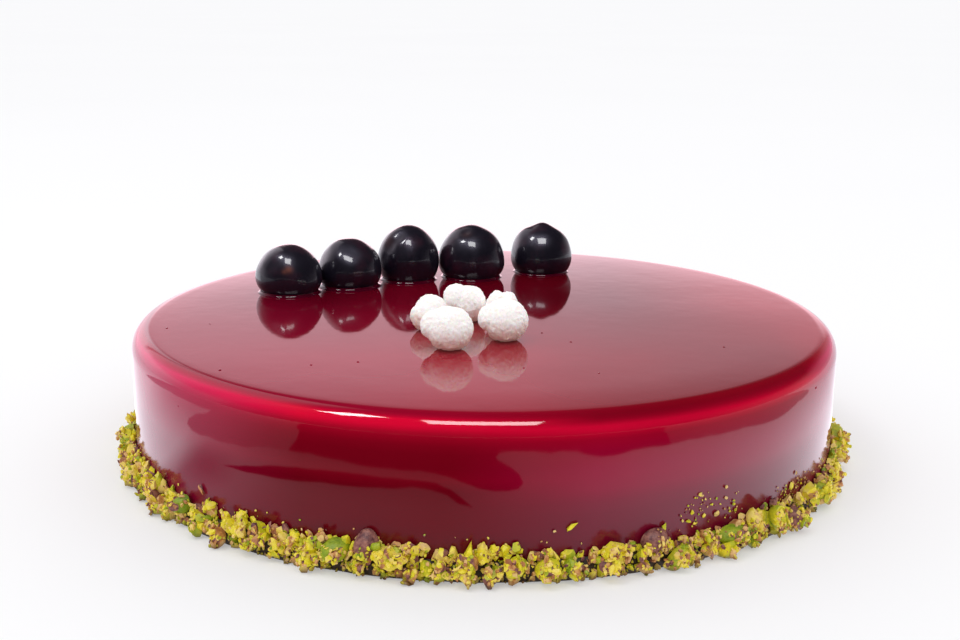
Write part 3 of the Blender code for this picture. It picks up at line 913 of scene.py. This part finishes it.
# How high the heap stands: degrees from the front towards +X, and a share of its usual height
BAND_HEIGHT = [
    (-180, 1), (-52, 0.95), (-47, 0.75), (-43, 0.9), (-40, 1), (-36, 1.2), (-33, 1.05), (-29, 0.82),
    (-24, 1), (-20, 1), (-15, 1.15), (-10, 1), (2, 1.05), (6, 1.15), (10, 1.05), (12, 0.72), (15, 0.68),
    (18, 0.88), (22, 0.78), (27, 0.62), (31, 0.72), (35, 0.8), (40, 0.95), (52, 0.85), (57, 0.72), (63, 0.9),
    (80, 1), (180, 1),
]
NUT_SCATTER = 0.0009
NUT_STAGGER = 0.35
NUT_SHAPE = (1.0, 0.78, 0.64)
CHIP_SHAPE = (0.8, 0.64, 0.52)
# How many numbers the solids draw for the corners of a piece, which are skipped here
LUMP_DRAWS = 12
CHIP_DRAWS = 8
LARGE_DRAWS = 23
# Degrees round from the front towards +X. How far out of the side and up, then the length, height and
# thickness, in tenths of a millimetre. The tilt up from level, the form, the tint from green (0) over
# yellow to tan (1), and how much of the round side is skin
LARGE_NUTS = [
    (-54.5, (22, 70, 62, 48, 36), 30, "chunk", 0.34, 0),
    (-46.6, (30, 56, 52, 46, 40), 50, "half", 0.1, 0),
    (-30.5, (28, 60, 50, 56, 36), 80, "slab", 0.3, 0),
    (-19.2, (32, 52, 70, 60, 48), 15, "half", 0.16, 0),
    (-15, (24, 72, 80, 62, 40), 75, "half", 0.5, 1),
    (-11.6, (32, 56, 84, 48, 42), -22, "slab", 0.46, 0),
    (-1.9, (30, 58, 88, 52, 40), 82, "wedge", 0.36, 0),
    (4.2, (36, 44, 50, 48, 40), 20, "chunk", 0.3, 0),
    (17.2, (28, 62, 74, 48, 38), -8, "slab", 0.4, 0),
    (23, (24, 72, 70, 56, 34), 20, "half", 0.6, 1),
    (25.7, (44, 26, 70, 36, 34), 48, "half", 0.22, 0),
    (35.2, (36, 48, 84, 46, 40), 5, "half", 0.14, 0),
    (33.7, (46, 24, 50, 44, 36), 60, "chunk", 0.3, 0),
    (39.6, (24, 66, 56, 50, 36), 70, "chunk", 0.58, 0),
    (43.6, (36, 54, 88, 50, 36), -62, "open", 0.24, 0),
    (47.8, (54, 32, 64, 56, 42), -70, "half", 0.6, 1),
    (54.6, (24, 64, 52, 38, 32), 18, "chunk", 0.46, 0.2),
    (58, (40, 40, 62, 50, 40), 40, "half", 0.16, 0),
    (82, (28, 64, 80, 50, 40), 30, "half", 0.26, 0),
    (112, (30, 56, 78, 48, 40), -15, "slab", 0.4, 0),
    (139, (26, 66, 84, 52, 38), 65, "wedge", 0.3, 0),
    (167, (32, 50, 72, 56, 42), 10, "half", 0.5, 1),
    (196, (26, 66, 80, 50, 38), -40, "open", 0.22, 0),
    (8.3, (40, 34, 62, 48, 40), 25, "half", 0.4, 0),
    (248, (28, 62, 84, 46, 38), 5, "slab", 0.44, 0),
    (281, (28, 64, 74, 54, 40), 55, "half", 0.2, 0.3),
]

# %% [markdown]
# The heap sits on a low rim of nut paste and syrup, painted nearly black. It hardly shows, but it
# fills the gaps between the pieces with painted shade instead of with glaze.

# %% The rim under the nuts
RIM_WIDTH = 0.002
RIM_HEIGHT = 0.005
RIM_TUBE = 0.001
FLOOR_GAP = 0.00015
deselect()
bpy.ops.mesh.primitive_torus_add(major_segments=420, minor_segments=14, major_radius=CAKE_RADIUS + GAP,
                                 minor_radius=RIM_TUBE)
rim = bpy.context.object
settle(rim, "nut_rim")
pick(rim, "VERT", lambda corner: corner.co.z > 0)
squash(RIM_HEIGHT / RIM_TUBE)
pick(rim, "VERT", lambda corner: corner.co.z < 0)
squash(0.1)
bpy.ops.mesh.select_all(action="SELECT")
bpy.ops.transform.translate(value=(0, 0, FLOOR_GAP))
alone(rim)
for corner in rim.data.vertices:
    out = corner.co.xy.length - CAKE_RADIUS - GAP
    reach = CAKE_RADIUS + GAP + max(out, 0.0) * RIM_WIDTH / RIM_TUBE
    corner.co.xy = corner.co.xy.normalized() * reach
ripple(rim, "rim_lumps", 0.0016, 2, 0.0007, 0.7)
bpy.ops.object.shade_smooth()

# %% [markdown]
# Each kind of piece is shaped once, one unit long, and then copied to its size and place. A knife cut
# is a bisect that keeps one side and fills the wound. Faces that come from the kernel's own round
# outside are marked, because only they can carry skin.


# %% Shapes of chopped kernels
def knife(piece, cuts):
    """Cut a lump with a knife. Each cut is a direction and how far from the middle it goes through."""
    for toward, reach in cuts:
        direction = Vector(toward).normalized()
        pick(piece, "FACE", lambda face: True)
        bpy.ops.mesh.bisect(plane_co=direction * reach, plane_no=direction, use_fill=True, clear_outer=True)
    alone(piece)


def mark_sides(piece, cuts):
    """Mark each face: 1 on the kernel's round outside, 0 on a cut."""
    ways = [Vector(toward).normalized() for toward, reach in cuts]
    side = piece.data.attributes.new("side", "FLOAT", "FACE")
    for face in piece.data.polygons:
        cut = any(face.normal.dot(way) > 0.995 for way in ways)
        side.data[face.index].value = 0.0 if cut else 1.0


def fit_unit(piece, name):
    """Stretch a shape to a cube of side 1 round the origin."""
    low, high = corners_box(piece)
    piece.scale = [1 / (high - low)[axis] for axis in range(3)]
    piece.location = [-(low + high)[axis] / 2 * piece.scale[axis] for axis in range(3)]
    settle(piece, name)
    return piece


def lump(name, detail, cuts):
    """A lump with flat cuts."""
    deselect()
    bpy.ops.mesh.primitive_ico_sphere_add(subdivisions=detail, radius=0.5)
    piece = bpy.context.object
    knife(piece, cuts)
    mark_sides(piece, cuts)
    return fit_unit(piece, name)


def half_kernel(name, opened):
    """Half a kernel: an egg split lengthwise. Opened, its flat face looks out and has a shallow hollow."""
    deselect()
    bpy.ops.mesh.primitive_uv_sphere_add(segments=24, ring_count=16, radius=0.5,
                                         rotation=(0, math.radians(90), 0))
    piece = bpy.context.object
    settle(piece, name)
    press(piece, (1, 0, 0.25), -0.1, 0.35)
    press(piece, (0.1, -0.9, -0.2), 0.05, 0.3)
    way = (0, -1, 0) if opened else (0, 1, 0)
    cuts = [(way, 0.02)]
    knife(piece, cuts)
    mark_sides(piece, cuts)
    if opened:
        pick(piece, "FACE", lambda face: len(face.verts) > 8)
        bpy.ops.mesh.inset(thickness=0.05)
        bpy.ops.mesh.inset(thickness=0.04, depth=-0.045)
        bpy.ops.mesh.inset(thickness=0.12, depth=-0.015)
        bpy.ops.mesh.poke()
        alone(piece)
    return fit_unit(piece, name)


def random_cuts(chance, count, near, far):
    """Knife cuts from all sides."""
    return [([chance.gauss(0, 1) for _ in range(3)], chance.uniform(near, far)) for _ in range(count)]


SHAPE_SEED = 5
chance = random.Random(SHAPE_SEED)
SHAPES = {
    "half": [half_kernel("half_kernel", False)],
    "open": [half_kernel("open_kernel", True)],
    "wedge": [lump("wedge", 3, [((0.5, 0, 1), 0.1), ((0.35, 0, -1), 0.16), ((0.2, -1, 0), 0.1),
                                ((0, 1, 0.1), 0.2), ((-1, 0, 0.1), 0.3)])],
    "slab": [lump(f"slab_{n}", 3, [((0.1, -1, 0.1 * n), 0.12), ((0, 1, 0.1), 0.2), ((1, 0.1, 0.5 - n), 0.34),
                                   ((-0.9, 0, 0.5 + n * 0.2), 0.3), ((0.2, 0.1, 1), 0.3)]) for n in range(3)],
    "chunk": [lump(f"chunk_{n}", 2, random_cuts(chance, 5, 0.2, 0.36)) for n in range(5)],
    "lump": [lump(f"lump_{n}", 2, random_cuts(chance, 5, 0.16, 0.36)) for n in range(6)],
    "chip": [lump(f"chip_{n}", 1, random_cuts(chance, 4, 0.12, 0.34)) for n in range(7)],
    "crumb": [lump(f"crumb_{n}", 1, random_cuts(chance, 3, 0.1, 0.34)) for n in range(5)],
    "flake": [lump(f"flake_{n}", 2, [((0, 1, 0), -0.3)] + random_cuts(chance, 3, 0.2, 0.34))
              for n in range(4)],
}
print({kind: [len(shape.data.polygons) for shape in shapes] for kind, shapes in SHAPES.items()})

# %% [markdown]
# A heap is one mesh that joins all copies of one kind. Corners that would reach into the cake or
# through the floor are pressed back, as the piece would be. Every face keeps the tint of its piece,
# a little lighter on a cut, and the skin of its round side.


# %% Heaping copies
CLOSEST = CAKE_RADIUS + 0.0002
CUT_LIGHTER = 0.08


def heap(name, lot):
    """Join copies into one mesh. Each has a shape, a matrix, a tint and a share of skin."""
    corners = []
    faces = []
    tints = []
    skins = []
    for shape, place, tint, skin in lot:
        first = len(corners)
        for corner in shape.data.vertices:
            spot = place @ corner.co
            if spot.xy.length < CLOSEST:
                spot.xy = spot.xy.normalized() * CLOSEST
            spot.z = max(spot.z, FLOOR_GAP)
            corners.append(spot)
        sides = shape.data.attributes["side"].data
        for face in shape.data.polygons:
            faces.append([first + index for index in face.vertices])
            tints.append(tint + CUT_LIGHTER * (1 - sides[face.index].value))
            skins.append(skin * sides[face.index].value)
    mesh = bpy.data.meshes.new(name)
    mesh.from_pydata(corners, [], faces)
    mesh.attributes.new("tint", "FLOAT", "FACE").data.foreach_set("value", tints)
    mesh.attributes.new("skin", "FLOAT", "FACE").data.foreach_set("value", skins)
    piece = bpy.data.objects.new(name, mesh)
    bpy.context.scene.collection.objects.link(piece)
    alone(piece)
    bpy.ops.object.shade_smooth_by_angle(angle=math.radians(32))
    return piece


def stand(azimuth, out, up, sizes, tilt):
    """The matrix that sizes a shape, tilts it and stands it at its place round the cake."""
    turn = Euler([math.radians(degrees) for degrees in tilt]).to_matrix().to_4x4()
    there = Matrix.Translation((0, -(CAKE_RADIUS + out), up))
    return Matrix.Rotation(azimuth, 4, "Z") @ there @ turn @ Matrix.Diagonal((*sizes, 1))


def heap_share(azimuth):
    """How high the heap stands in a direction, as a share of its usual height."""
    degrees = (math.degrees(azimuth) + 180) % 360 - 180
    for (before, low), (after, high) in zip(BAND_HEIGHT, BAND_HEIGHT[1:]):
        if degrees <= after:
            return low + (high - low) * (degrees - before) / (after - before)
    return BAND_HEIGHT[-1][1]


# Five ranges of tint, and how often each comes among the kernels and the crumbs
TINTS = [(0.14, 0.2), (0.26, 0.36), (0.38, 0.5), (0.52, 0.64), (0.74, 0.92)]
KERNEL_WEIGHTS = [3, 5, 5, 3, 2]
CRUMB_WEIGHTS = [2, 3, 5, 7, 5]


def some_tint(chance, weights):
    """A tint as they come in the heap: mostly yellow-green and yellow, now and then tan."""
    return chance.uniform(*chance.choices(TINTS, weights)[0])


# %% Kernels where the solids have them
def skip(chance, count):
    """Draw numbers that only the solids need."""
    for _ in range(count):
        chance.random()


SKIN_SHARE = 0.14
draw = random.Random(BAND_SEED)
chance = random.Random(SHAPE_SEED)
large_lot = []
lump_lot = []
chip_lot = []
for degrees, sizes, tilt, form, tint, skin in LARGE_NUTS:
    out, up, length, tall, thick = [size / 10000 for size in sizes]
    skip(draw, LARGE_DRAWS)
    place = stand(math.radians(degrees), out, up, (length, thick, tall), (0, -tilt, 0))
    large_lot.append((chance.choice(SHAPES[form]), place, tint, skin))
for rule in NUT_ROWS:
    for number in range(rule["count"]):
        azimuth = math.tau * (number + draw.uniform(-NUT_STAGGER, NUT_STAGGER)) / rule["count"]
        out = rule["out"] + draw.uniform(-NUT_SCATTER, NUT_SCATTER)
        up = rule["up"] * heap_share(azimuth) + draw.uniform(-NUT_SCATTER, NUT_SCATTER)
        length = draw.uniform(*rule["length"])
        is_chip = number % 3
        sizes = [length * share for share in (CHIP_SHAPE if is_chip else NUT_SHAPE)]
        tilt = [draw.uniform(0, 360) for _ in range(3)]
        skip(draw, CHIP_DRAWS if is_chip else LUMP_DRAWS)
        place = stand(azimuth, out, up, sizes, tilt)
        skin = 1.0 if chance.random() < SKIN_SHARE else 0.0
        tint = some_tint(chance, KERNEL_WEIGHTS)
        entry = (chance.choice(SHAPES["chip" if is_chip else "lump"]), place, tint, skin)
        (chip_lot if is_chip else lump_lot).append(entry)
large_kernels = heap("large_kernels", large_lot)
kernel_lumps = heap("kernel_lumps", lump_lot)
kernel_chips = heap("kernel_chips", chip_lot)
print("kernels:", len(large_lot), len(lump_lot), len(chip_lot))


# %% Bits, crumbs and flakes dropped onto them
def surface(pieces):
    """All faces of some pieces as one tree that rays can be cast at."""
    corners = []
    faces = []
    for piece in pieces:
        first = len(corners)
        corners += [corner.co.copy() for corner in piece.data.vertices]
        faces += [[first + index for index in face.vertices] for face in piece.data.polygons]
    return BVHTree.FromPolygons(corners, faces)


# How far out of the cake's side the heap may reach
HEAP_REACH = 0.0075


def dropped(kind, count, sizes, heights, tree, chance, skin_share=0.12):
    """Copies of a kind where rays from outside first meet the heap."""
    lot = []
    while len(lot) < count:
        azimuth = chance.uniform(0, math.tau)
        outward = Vector((math.sin(azimuth), -math.cos(azimuth), 0))
        start = outward * (CAKE_RADIUS + 0.02) + Vector((0, 0, chance.uniform(*heights)))
        aim = Vector((chance.gauss(0, 0.25), chance.gauss(0, 0.25), chance.uniform(-0.9, 0.1)))
        hit, normal = tree.ray_cast(start - aim * 0.012, aim - outward)[:2]
        if hit is None or hit.z < GAP or hit.xy.length > CAKE_RADIUS + HEAP_REACH:
            continue
        length = chance.uniform(*sizes)
        shape = Vector((1.0, chance.uniform(0.5, 0.9), chance.uniform(0.4, 0.8))) * length
        if kind == "flake":
            shape = Vector((length, length * 0.16, length * 0.8))
            turn = normal.to_track_quat("-Y", "Z").to_matrix().to_4x4()
        else:
            turn = Euler([chance.uniform(0, math.tau) for _ in range(3)]).to_matrix().to_4x4()
        place = Matrix.Translation(hit + normal * length * 0.12) @ turn @ Matrix.Diagonal((*shape, 1))
        skin = 1.0 if kind == "flake" or chance.random() < skin_share else 0.0
        lot.append((chance.choice(SHAPES[kind]), place, some_tint(chance, CRUMB_WEIGHTS), skin))
    return lot


def pressed(count, sizes, heights, chance):
    """Chips pressed flat against the glaze, all the way round."""
    lot = []
    for _ in range(count):
        length = chance.uniform(*sizes)
        shape = Vector((1.0, chance.uniform(0.5, 0.8), chance.uniform(0.6, 0.9))) * length
        azimuth = chance.uniform(0, math.tau)
        up = chance.triangular(*heights) * heap_share(azimuth)
        place = stand(azimuth, shape.y * 0.36, up, shape, (0, chance.uniform(0, 360), 0))
        skin = 1.0 if chance.random() < 0.16 else 0.0
        lot.append((chance.choice(SHAPES["chip"]), place, some_tint(chance, CRUMB_WEIGHTS), skin))
    return lot


DROP_SEED = 23
chance = random.Random(DROP_SEED)
wall_bits = heap("wall_bits", pressed(620, (0.002, 0.0036), (0.004, 0.0088, 0.0062), chance))
kernels = [rim, large_kernels, kernel_lumps, kernel_chips, wall_bits]
tree = surface(kernels)
kernel_bits = heap("kernel_bits", dropped("chip", 1100, (0.0014, 0.003), (0.0003, 0.0095), tree, chance))
nut_skins = heap("nut_skins", dropped("flake", 150, (0.0018, 0.0036), (0.001, 0.0085), tree, chance))
tree = surface(kernels + [kernel_bits, nut_skins])
nut_crumbs = heap("nut_crumbs",
                  dropped("crumb", 4800, (0.0005, 0.0015), (0.0002, 0.01), tree, chance, 0.2))

# %% [markdown]
# Some crumbs stuck to the glaze above the band, where the nuts were pressed on: a sliver or two, and a
# loose swarm on the right. These are placed one by one, and finer ones are strewn between them.

# %% Crumbs on the glaze
# Degrees from the front. How far up the crumb sits, then its length, height and thickness, in tenths
# of a millimetre. Its tilt, tint and skin
LONE_CRUMBS = [
    (11.6, (127, 33, 11, 10), 36, 0.34, 0), (9.3, (117, 9, 8, 7), 0, 0.6, 1),
    (-43, (110, 30, 10, 10), -50, 0.8, 1), (-38.7, (73, 14, 12, 10), 20, 0.62, 0),
    (30.4, (159, 11, 11, 8), 0, 0.62, 0), (33.4, (100, 15, 15, 10), 10, 0.6, 0),
    (35, (163, 9, 9, 7), 0, 0.64, 0), (35.1, (134, 8, 10, 7), 70, 0.64, 0),
    (29.2, (118, 12, 10, 8), 60, 0.34, 0), (28.6, (98, 14, 9, 8), -15, 0.32, 0),
    (29.6, (89, 9, 8, 7), 0, 0.56, 0), (31.2, (103, 12, 8, 7), 50, 0.36, 0),
    (24.6, (98, 21, 13, 11), 75, 0.28, 0), (50.3, (96, 22, 13, 10), 70, 0.44, 0),
    (51.8, (124, 12, 9, 7), 60, 0.7, 1), (36.6, (113, 10, 8, 7), 0, 0.4, 0),
    (37, (96, 11, 7, 7), 70, 0.34, 0),
]
# Where finer crumbs are strewn: degrees, heights, and how many
SWARMS = [((27.0, 38.5), (0.0085, 0.014), 34), ((29.0, 33.0), (0.012, 0.0165), 8),
          ((46.5, 57.0), (0.006, 0.0112), 60), ((0.0, 360.0), (0.0075, 0.0105), 170)]
lot = []
for degrees, sizes, tilt, tint, skin in LONE_CRUMBS:
    up, length, tall, thick = [size / 10000 for size in sizes]
    place = stand(math.radians(degrees), thick * 0.4, up, (length, thick, tall), (0, -tilt, 0))
    lot.append((chance.choice(SHAPES["crumb"]), place, tint, skin))
for between, heights, count in SWARMS:
    for _ in range(count):
        length = chance.uniform(0.0003, 0.0008)
        tilt = [chance.uniform(0, 360) for _ in range(3)]
        place = stand(math.radians(chance.uniform(*between)), length * 0.3, chance.uniform(*heights),
                      (length, length * 0.8, length * 0.7), tilt)
        skin = 1.0 if chance.random() < 0.45 else 0.0
        lot.append((chance.choice(SHAPES["crumb"]), place, some_tint(chance, CRUMB_WEIGHTS), skin))
glaze_crumbs = heap("glaze_crumbs", lot)
for shapes in SHAPES.values():
    for shape in shapes:
        bpy.data.objects.remove(shape)

# %% [markdown]
# A pistachio is bright green under its skin and yellow towards its middle, and the skin is a dull
# purple. A ramp turns the tint of each face into a colour, noise moves it along the ramp so that no
# piece is even, and the skin is laid over with its own mottling.

# %% The pistachios' finish
NUT_STOPS = [
    (0.0, (0.16, 0.26, 0.004)), (0.16, (0.32, 0.42, 0.006)), (0.32, (0.58, 0.56, 0.01)),
    (0.46, (0.88, 0.74, 0.012)), (0.6, (0.92, 0.72, 0.12)), (0.74, (0.84, 0.55, 0.22)),
    (0.9, (0.62, 0.28, 0.08)), (1.0, (0.4, 0.14, 0.05)),
]
nut = Finish("pistachio", Roughness=0.55, IOR=1.45)
fine = nut.noise(0.0012, 3.0, 0.6)
tint = nut.painted("tint") + (nut.noise(0.003) - 0.5) * 0.5 + (fine - 0.5) * 0.3
kernel_colour = nut.ramp(tint, NUT_STOPS)
skin_colour = nut.mix(nut.between(fine, 0.35, 0.65), (0.13, 0.03, 0.038), (0.4, 0.16, 0.12))
ragged = nut.between(nut.painted("skin") + (nut.noise(0.0022) - 0.5) * 0.9, 0.45, 0.6)
# Pieces within 2.2 mm of the floor are darkened to a dark brown: painted shade under the heap
shaded = nut.between(nut.axes()["Z"], 0.0, 0.0022)
covered = nut.mix(ragged, kernel_colour, skin_colour)
nut.wear(Base_Color=nut.mix(shaded, (0.1, 0.05, 0.008), covered),
         Roughness=0.42 + 0.25 * fine,
         Normal=nut.bump(fine, 0.0003))
# The rim's near black colour is painted shade for the gaps deep in the heap, as well as the dark paste
shade_paste = Finish("nut_paste_shade", Roughness=0.6)
shade_paste.wear(Base_Color=shade_paste.mix(shade_paste.noise(0.002), (0.02, 0.01, 0.004), (0.06, 0.03, 0.01)),
           Normal=shade_paste.bump(shade_paste.noise(0.001), 0.0003))
dress(rim, shade_paste.material, "pistachio", "pistachio_band")
for piece in (large_kernels, kernel_lumps, kernel_chips, wall_bits, kernel_bits, nut_skins, nut_crumbs,
              glaze_crumbs):
    dress(piece, nut.material, "pistachio", "pistachio_band")
